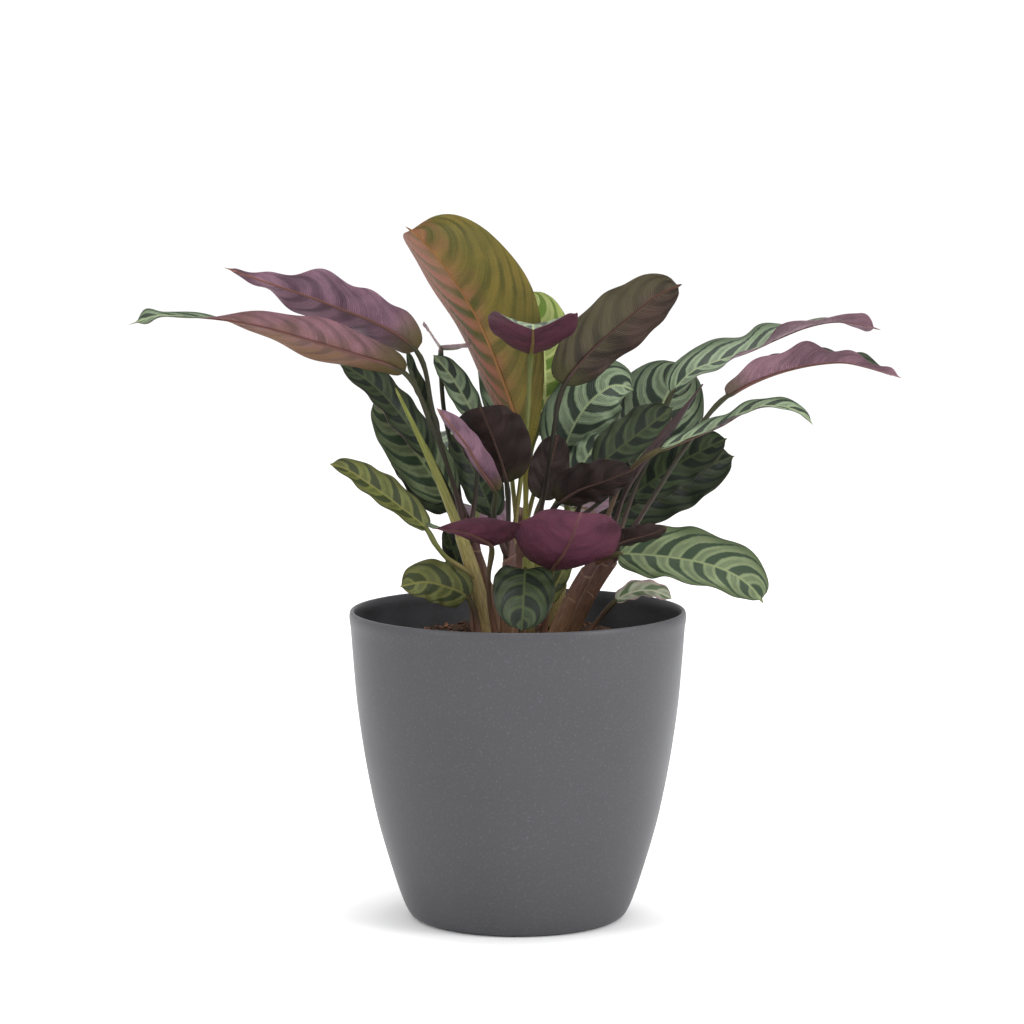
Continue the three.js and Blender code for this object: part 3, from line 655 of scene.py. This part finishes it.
LOWERS = {
    "burgundy": lower_finish("lower_burgundy", srgb(134, 100, 116), srgb(76, 56, 68),
                             srgb(84, 76, 40), srgb(136, 92, 76), 0.65),
    "blush": lower_finish("lower_blush", srgb(124, 88, 97), srgb(76, 58, 56),
                          srgb(70, 64, 26), srgb(108, 58, 62), 0.5, 0.5, srgb(112, 82, 58)),
    "wine": lower_finish("lower_wine", srgb(92, 50, 66), srgb(54, 30, 40),
                         srgb(70, 44, 48), srgb(112, 72, 78), 0.3),
    # Painted shade: a darker underside for leaves inside the plant, standing in for the shade that falls there.
    "dark": lower_finish("lower_painted_shade", srgb(56, 42, 40), srgb(28, 22, 22),
                         srgb(50, 44, 26), srgb(66, 48, 40), 0.7),
    "umber": lower_finish("lower_umber", srgb(70, 54, 48), srgb(36, 29, 25),
                          srgb(56, 54, 28), srgb(86, 56, 44), 0.8, 0.5, srgb(72, 66, 48)),
    # Painted transmitted light: the olive ground stands in for light shining through the leaf from behind.
    "backlit": lower_finish("lower_backlit", srgb(112, 98, 44), srgb(80, 78, 34),
                            srgb(106, 98, 34), srgb(134, 92, 52), 1.0, 0.48,
                            srgb(136, 82, 66)),
    "pink": lower_finish("lower_pink", srgb(136, 102, 114), srgb(78, 54, 64),
                         srgb(92, 80, 66), srgb(138, 104, 104), 0.45),
    "petal": lower_finish("lower_petal", srgb(186, 160, 166), srgb(140, 104, 116),
                          srgb(128, 138, 104), srgb(150, 160, 120), 0.3),
}
STALKS = {
    "green": stalk_finish("stalk_green", srgb(112, 102, 62), srgb(92, 96, 50), srgb(80, 84, 44),
                          srgb(92, 74, 44)),
    "olive": stalk_finish("stalk_olive", srgb(104, 100, 44), srgb(104, 100, 42),
                          srgb(110, 96, 42), srgb(124, 86, 50)),
    "brown": stalk_finish("stalk_brown", srgb(92, 64, 50), srgb(72, 56, 42), srgb(68, 62, 38),
                          srgb(84, 58, 50)),
    "dark": stalk_finish("stalk_dark", srgb(66, 50, 46), srgb(48, 46, 36), srgb(52, 52, 34),
                         srgb(92, 62, 56)),
    "black": stalk_finish("stalk_black", srgb(58, 44, 40), srgb(40, 36, 30), srgb(42, 38, 30),
                          srgb(64, 46, 42)),
}

# leaf: upper side, underside, petiole, and what differs from the usual waves
LOOKS = {
    "leaf_far_left": ("striped", "blush", "dark",
                      {"wave": 1.3, "count": 3.2, "tail": (0.3, 0.74, 0.68, 0.8)}),
    "leaf_upper_left": ("striped", "burgundy", "dark",
                        {"wave": 2.9, "count": 4.4, "tail": (0.5, 0.92, 0.68, 0.0)}),
    "leaf_tall": ("shaded", "backlit", "olive", {"wave": 1.4, "count": 2.0}),
    "leaf_lime": ("lime", "burgundy", "green", {"wave": 0.8}),
    "leaf_small_curled": ("striped", "wine", "green", {"wave": 0.9, "count": 2.5}),
    "leaf_right_dark": ("striped", "umber", "black", {"wave": 1.5, "count": 3.4}),
    "leaf_right_arching": ("striped", "pink", "dark",
                           {"wave": 1.9, "count": 4.0, "tail": (0.5, 0.85, 0.35, 0.3)}),
    "leaf_right_back": ("striped", "dark", "dark", {"wave": 1.6, "count": 3.0}),
    "leaf_far_right": ("shaded", "pink", "dark",
                       {"wave": 2.0, "count": 4.0, "tail": (0.45, 0.9, 0.45, 0.2)}),
    "leaf_right_low": ("striped", "dark", "brown", {"wave": 0.8}),
    "leaf_mid_right": ("striped", "dark", "green", {}),
    "leaf_mid_right_back": ("striped", "dark", "green", {}),
    "leaf_mid_small": ("striped", "dark", "green", {}),
    "leaf_right_inner": ("shaded", "dark", "black", {"wave": 1.2}),
    "leaf_right_olive": ("shaded", "dark", "black", {}),
    "leaf_right_hooked": ("shaded", "dark", "black", {}),
    "leaf_lower_right": ("olive", "dark", "brown", {"wave": 1.8, "count": 3.5}),
    "leaf_front_purple": ("striped", "wine", "brown", {"wave": 1.1, "count": 2.4}),
    "leaf_front_left_purple": ("striped", "wine", "brown", {"wave": 0.8, "count": 2.0}),
    "leaf_front_small_dark": ("striped", "dark", "black", {"wave": 0.5}),
    "leaf_front_round": ("shaded", "dark", "brown", {"wave": 0.5}),
    "leaf_lower_left": ("yellow", "dark", "brown", {"wave": 1.0}),
    "leaf_left_folded": ("yellow", "dark", "green", {"wave": 1.0}),
    "leaf_left_striped": ("olive", "dark", "dark", {}),
    "leaf_left_pink_edge": ("shaded", "pink", "dark", {}),
    "leaf_left_dark": ("shaded", "dark", "black", {}),
    "leaf_centre_dark": ("shaded", "dark", "black", {"wave": 1.2}),
    "leaf_centre_pink": ("shaded", "burgundy", "dark", {"wave": 0.5}),
    "leaf_left_small": ("striped", "dark", "dark", {"wave": 0.6}),
    "leaf_tiny_pink": ("pinkish", "petal", "dark", {"wave": 0.8}),
    "leaf_inner_dark_green": ("shaded", "dark", "black", {}),
    "leaf_centre_right_purple": ("shaded", "dark", "black", {"wave": 1.2}),
    "leaf_rim_right": ("pinkish", "petal", "brown", {"wave": 0.8}),
    "leaf_left_inner": ("shaded", "dark", "brown", {"wave": 0.5}),
    "leaf_centre_olive": ("yellow", "dark", "brown", {"wave": 0.4}),
    "leaf_centre_brown": ("shaded", "dark", "brown", {"wave": 0.7}),
    "leaf_left_edge_on": ("shaded", "dark", "black", {"wave": 0.4}),
    "leaf_back_upright": ("striped", "burgundy", "green", {}),
}
USUAL_LOOK = ("striped", "burgundy", "green", {})


def make_leaves():
    for node in sorted(name for name in frame["nodes"] if name.startswith("leaf_")):
        upper, lower, stalk, changes = LOOKS.get(node, USUAL_LOOK)
        make_leaf(node, UPPERS[upper], LOWERS[lower], STALKS[stalk], **changes)


# ------------------------------------------------------------------ shoots
SHEATH_SIDES = 20
SHEATH_ROWS = 34
SHOOT_EXTRA = 9 * MM  # how far the inmost sheath rises past the CAD solid, round the petioles
# from and to, as shares of the shoot's length, and the radius as a share of the solid's
SHEATHS = ((0.0, 0.42, 0.99), (0.0, 0.76, 0.9), (0.0, 1.0, 0.8))
SHEATH_SLANT = 5 * MM


def shoot_finish(name, foot, top, edge):
    finish = Finish(name, 0.5, 0.2)
    along, turn, rim = finish.parts("leaf_place")
    share, seed, _ = finish.parts("leaf_extra")
    color = finish.mix(finish.band(share, 0.0, 0.85), foot, top)
    spot = finish.vector(finish.math("MULTIPLY", turn, 1.6), finish.math("MULTIPLY", along, 0.035), seed)
    streak = finish.math("MULTIPLY_ADD", finish.noise(spot, 3.4, 5.0, 0.7), 2.4, -0.2)
    color = finish.mix(1.0, color, finish.vector(streak, streak, streak), "MULTIPLY")
    color = finish.mix(finish.band(rim, 1.3, 0.2, 0, 0.22), color, edge)
    finish.color(color)
    finish.bump(finish.noise(spot, 7.0, 3.0), 0.4, 0.0004)
    return finish.material


SHOOT_FINISHES = {
    "shoot_green": shoot_finish("shoot_green_finish", srgb(122, 106, 68), srgb(100, 104, 48), srgb(150, 144, 96)),
    "shoot_brown": shoot_finish("shoot_brown_finish", srgb(112, 84, 62), srgb(78, 54, 50), srgb(150, 126, 96)),
    "leaf_dark_purple": shoot_finish("rolled_finish", srgb(60, 46, 44), srgb(54, 40, 42), srgb(80, 60, 58)),
}


def make_shoot(node):
    line = Line(node, False)
    choose = random.Random(f"{node}{RANDOM_SEED}")
    rolled = node == "rolled_leaf"
    centres = np.vstack([line.centres, line.centres[-1]
                         + unit(line.centres[-1] - line.centres[-2]) * SHOOT_EXTRA])
    steps = np.linalg.norm(np.diff(centres, axis=0), axis=1)
    knots = np.concatenate([[0], np.cumsum(steps)])
    radii = np.linalg.norm(line.rights - line.lefts, axis=1) / 2
    radii = np.append(radii, radii[-1] * 0.62)
    points, faces, place, extra = [], [], [], []
    sheaths = SHEATHS[2:] if rolled else SHEATHS
    for number, (begin, end, share_of_radius) in enumerate(sheaths):
        first = choose.uniform(0, 2 * math.pi)
        turn = np.linspace(0, 2 * math.pi, SHEATH_SIDES, endpoint=False)
        slant = 0 if rolled else SHEATH_SLANT
        tops = end * knots[-1] - slant * (1 - np.cos(turn - first)) / 2
        share = np.linspace(0, 1, SHEATH_ROWS)
        reach = begin * knots[-1] + share[:, None] * (tops - begin * knots[-1])[None]
        flat = reach.ravel()
        centre = smooth_through(knots, centres, flat)
        ahead = unit(smooth_through(knots, centres, np.minimum(flat + 0.4 * MM, knots[-1]))
                     - smooth_through(knots, centres, np.maximum(flat - 0.4 * MM, 0)))
        across = unit(np.cross(ahead, np.array([0.0, 1.0, 0.0])))
        other = np.cross(ahead, across)
        angle = np.tile(turn, SHEATH_ROWS)
        ridge = 1 + 0.09 * np.cos(3 * angle + first) + 0.04 * np.cos(7 * angle)
        radius = smooth_through(knots, radii, flat) * share_of_radius * ridge
        ring = (across * np.cos(angle)[:, None] * 1.06 + other * np.sin(angle)[:, None] * 0.95)
        start = sum(len(part) for part in points)
        points.append(centre + ring * radius[:, None])
        faces += grid_faces(SHEATH_ROWS, SHEATH_SIDES, start, wrap=True)
        faces.append(tuple(range(start + SHEATH_SIDES - 1, start - 1, -1)))
        last = start + (SHEATH_ROWS - 1) * SHEATH_SIDES
        faces.append(tuple(range(last, last + SHEATH_SIDES)))
        to_rim = (np.tile(tops, SHEATH_ROWS) - flat) / MM
        if rolled:
            to_rim = to_rim + 9
        place.append(np.stack([flat / MM, angle, to_rim], 1))
        extra.append(np.stack([flat / knots[-1], np.full(len(flat), first * 7 + number), 0 * flat], 1))
    piece = make_piece(node + "_surface", np.concatenate(points), faces,
                       [SHOOT_FINISHES[SLOTS[node]]], None,
                       {"leaf_place": np.concatenate(place), "leaf_extra": np.concatenate(extra)})
    settle(piece, node)


# ------------------------------------------------------------------ pots and soil
POT_SIDES = 192
FLAT_LENGTH = 30 * MM  # a profile's stretch longer than this stays straight
PROFILE_STEPS = 6


def lathe_profile(node):
    """[radius, height] points of a turned CAD node's outline, from the axis and back to it."""
    mesh = frame["nodes"][node].data
    points = {}
    for vertex in mesh.vertices:
        if abs(vertex.co.y) < 1e-6 and vertex.co.x > -1e-6:
            points[(round(vertex.co.x, 6), round(vertex.co.z, 6))] = None
    near = {point: set() for point in points}
    for polygon in mesh.polygons:
        corners = [mesh.vertices[v].co for v in polygon.vertices]
        on = [(round(c.x, 6), round(c.z, 6)) for c in corners if abs(c.y) < 1e-6 and c.x > -1e-6]
        for a in on:
            near[a] |= set(on) - {a}
    start = min((p for p in points if p[0] < 1e-6), key=lambda p: p[1])
    path = [start]
    while True:
        ahead = [p for p in near[path[-1]] if p not in path]
        if not ahead:
            return np.array(path)
        path.append(min(ahead, key=lambda p: math.dist(p, path[-1])))


def rounded_profile(profile):
    """The outline with its short stretches made into one smooth curve."""
    fine = [profile[0]]
    for i in range(len(profile) - 1):
        a, b = profile[i], profile[i + 1]
        length = math.dist(a, b)
        if length > FLAT_LENGTH:
            steps = 12
            fine += [a + (b - a) * s / steps for s in range(1, steps + 1)]
            continue
        before = profile[i - 1] if i > 0 else a
        after = profile[i + 2] if i + 2 < len(profile) else b
        tangent_a = slope_at(before, a, b)
        tangent_b = slope_at(a, b, after)
        for s in np.linspace(0, 1, PROFILE_STEPS + 1)[1:]:
            weights = (2 * s**3 - 3 * s**2 + 1, s**3 - 2 * s**2 + s, -2 * s**3 + 3 * s**2, s**3 - s**2)
            fine.append(weights[0] * a + weights[1] * tangent_a * length
                        + weights[2] * b + weights[3] * tangent_b * length)
    return np.array(fine)


def slope_at(before, point, after):
    """The direction of a smooth outline at a point; beside a long flat it follows the flat."""
    if math.dist(before, point) > FLAT_LENGTH:
        return (point - before) / math.dist(before, point)
    if math.dist(point, after) > FLAT_LENGTH:
        return (after - point) / math.dist(point, after)
    direction = unit(point - before) + unit(after - point)
    return direction / max(np.linalg.norm(direction), 1e-9)


def turned(name, profile, material, sides=POT_SIDES, shift=None):
    """A solid turned about the Z axis. The profile starts and ends on the axis."""
    turn = np.linspace(0, 2 * math.pi, sides, endpoint=False)
    inner = profile[1:-1]
    radius, height = inner[:, :1], inner[:, 1:]
    points = np.stack([radius * np.cos(turn), radius * np.sin(turn),
                       np.repeat(height, sides, 1)], -1)
    if shift is not None:
        points = shift(points)
    rows = len(inner)
    points = np.concatenate([points.reshape(-1, 3), [[0, 0, profile[0][1]], [0, 0, profile[-1][1]]]])
    faces = grid_faces(rows, sides, wrap=True, flip=False)
    first, last = rows * sides, rows * sides + 1
    for s in range(sides):
        following = (s + 1) % sides
        faces.append((first, following, s))
        faces.append((last, (rows - 1) * sides + s, (rows - 1) * sides + following))
    return make_piece(name, points, faces, [material])


def pot_finish():
    finish = Finish("cover_pot_finish", 0.42, 0.2)
    place = finish.place()
    cloud = finish.noise(place, 14.0, 3.0)
    speck = finish.noise(place, 900.0, 2.0)
    color = finish.mix(cloud, srgb(63, 63, 66), srgb(70, 70, 73))
    color = finish.mix(finish.band(speck, 0.55, 0.75, 0, 0.2), color, srgb(110, 110, 114))
    finish.color(color)
    finish.feed(finish.shader.inputs["Roughness"], finish.band(cloud, 0.3, 0.7, 0.38, 0.46))
    finish.bump(finish.noise(place, 1500.0, 2.0), 0.16, 0.0001)
    return finish.material


def grower_finish():
    finish = Finish("grower_pot_finish", 0.5, 0.4)
    place = finish.place()
    dust = finish.noise(place, 60.0, 4.0)
    finish.color(finish.mix(finish.band(dust, 0.5, 0.8, 0, 0.5), srgb(26, 26, 28), srgb(70, 62, 54)))
    finish.bump(finish.noise(place, 700.0, 2.0), 0.15, 0.0001)
    return finish.material


def soil_finish():
    finish = Finish("soil_finish", 0.95, 0.15)
    place = finish.place()
    crumbs = finish.noise(place, 260.0, 5.0, 0.7)
    patch = finish.noise(place, 45.0, 3.0)
    color = finish.mix(finish.band(crumbs, 0.35, 0.7), srgb(30, 22, 17), srgb(74, 54, 40))
    color = finish.mix(finish.band(patch, 0.45, 0.75, 0, 0.6), color, srgb(48, 33, 24))
    finish.color(color)
    finish.bump(crumbs, 0.9, 0.0016)
    return finish.material


def chip_finish():
    finish = Finish("chip_finish", 0.85, 0.2)
    place = finish.place()
    tint = finish.noise(place, 130.0, 2.0)
    grain = finish.noise(place, 900.0, 3.0)
    color = finish.mix(finish.band(tint, 0.35, 0.65), srgb(66, 42, 30), srgb(122, 84, 60))
    color = finish.mix(finish.band(grain, 0.4, 0.7, 0, 0.5), color, srgb(44, 30, 22))
    finish.color(color)
    finish.bump(grain, 0.6, 0.0005)
    return finish.material


SOIL_RINGS = 34
CHIPS = 620
SOIL_ROUGHNESS = 1.5 * MM


def rough(x, y):
    """A smooth bumpy height of about -1 to 1."""
    return (np.sin(x * 310 + 1.3 * np.sin(y * 190)) * np.sin(y * 270 + 0.7)
            + 0.6 * np.sin(x * 720 + y * 410 + 2.0) * np.sin(y * 660 - x * 250))


def make_soil():
    profile = lathe_profile("soil")
    low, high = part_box("soil")
    top_edge = max(range(len(profile)), key=lambda i: profile[i][0])
    sides = profile[:top_edge + 1]
    crown = profile[top_edge:]
    order = np.argsort(crown[:, 0])
    radii = np.linspace(crown[:, 0].max(), 0, SOIL_RINGS)
    heights = np.interp(radii, crown[order, 0], crown[order, 1])
    outline_points = np.vstack([sides[:-1], np.stack([radii, heights], 1)])

    def crumble(points):
        radius = np.hypot(points[..., 0], points[..., 1])
        on_top = points[..., 2] > profile[top_edge][1] - 1e-6
        calm = np.clip((crown[:, 0].max() - radius) / 0.004, 0, 1)
        lift = SOIL_ROUGHNESS * rough(points[..., 0], points[..., 1]) * calm * on_top
        points[..., 2] += lift
        return points

    piece = turned("soil_surface", outline_points, soil_finish(), 96, crumble)
    settle(piece, "soil")

    choose = random.Random(RANDOM_SEED)
    corners = [(x, y, z) for x in (-1, 1) for y in (-1, 1) for z in (-1, 1)]
    sides_of_box = [(0, 1, 3, 2), (4, 6, 7, 5), (0, 4, 5, 1), (2, 3, 7, 6), (0, 2, 6, 4), (1, 5, 7, 3)]
    points, faces = [], []
    for _ in range(CHIPS):
        radius = crown[:, 0].max() * 0.97 * math.sqrt(choose.random())
        turn = choose.uniform(0, 2 * math.pi)
        x, y = radius * math.cos(turn), radius * math.sin(turn)
        ground = float(np.interp(radius, crown[order, 0], crown[order, 1]))
        z = ground + SOIL_ROUGHNESS * float(rough(x, y)) * 0.6 + choose.uniform(-0.4, 0.9) * MM
        thread = choose.random() < 0.25
        size = Vector((choose.uniform(2.5, 6.0), choose.uniform(0.3, 0.5), choose.uniform(0.3, 0.5))
                      if thread else
                      (choose.uniform(1.2, 4.2), choose.uniform(0.8, 2.2), choose.uniform(0.4, 1.0)))
        lean = Vector((choose.gauss(0, 0.35), choose.gauss(0, 0.35), 1)).normalized()
        spin = choose.uniform(0, 2 * math.pi)
        turned_by = lean.to_track_quat("Z", "Y").to_matrix()
        start = len(points)
        for corner in corners:
            jitter = [1 + choose.uniform(-0.35, 0.2) for _ in range(3)]
            local = Vector((corner[0] * size.x * jitter[0] / 2, corner[1] * size.y * jitter[1] / 2,
                            corner[2] * size.z * jitter[2] / 2)) * MM
            c, s = math.cos(spin), math.sin(spin)
            local = Vector((local.x * c - local.y * s, local.x * s + local.y * c, local.z))
            points.append(turned_by @ local + Vector((x, y, z)))
        faces += [tuple(start + i for i in face) for face in sides_of_box]
    piece = make_piece("soil_chips", points, faces, [chip_finish()])
    piece.data.polygons.foreach_set("use_smooth", np.zeros(len(faces), bool))
    settle(piece, None)


def make_pots():
    pot = turned("cover_pot_surface", rounded_profile(lathe_profile("cover_pot")), pot_finish())
    settle(pot, "cover_pot")
    grower = turned("grower_pot_surface", lathe_profile("grower_pot"), grower_finish(), 96)
    settle(grower, "grower_pot")


def floor_finish():
    finish = Finish("floor_finish", 0.9, 0.1)
    cloud = finish.noise(finish.place(), 2.0, 2.0)
    finish.color(finish.mix(cloud, srgb(251, 251, 251), srgb(253, 253, 253)))
    return finish.material


def make_floor():
    turn = np.linspace(0, 2 * math.pi, 128, endpoint=False)
    rings = [np.stack([radius * np.cos(turn), radius * np.sin(turn), 0 * turn], -1)
             for radius in (0.3, FLOOR_RADIUS)]
    points = np.concatenate(rings + [[[0, 0, 0]]])
    faces = grid_faces(2, 128, wrap=True, flip=True)
    faces += [(256, s, (s + 1) % 128) for s in range(128)]
    make_piece("floor", points, faces, [floor_finish()])


make_camera()
make_lights()
make_floor()
make_pots()
make_soil()
for shoot in sorted(n for n in frame["nodes"] if n.startswith("shoot_") or n == "rolled_leaf"):
    make_shoot(shoot)
make_leaves()
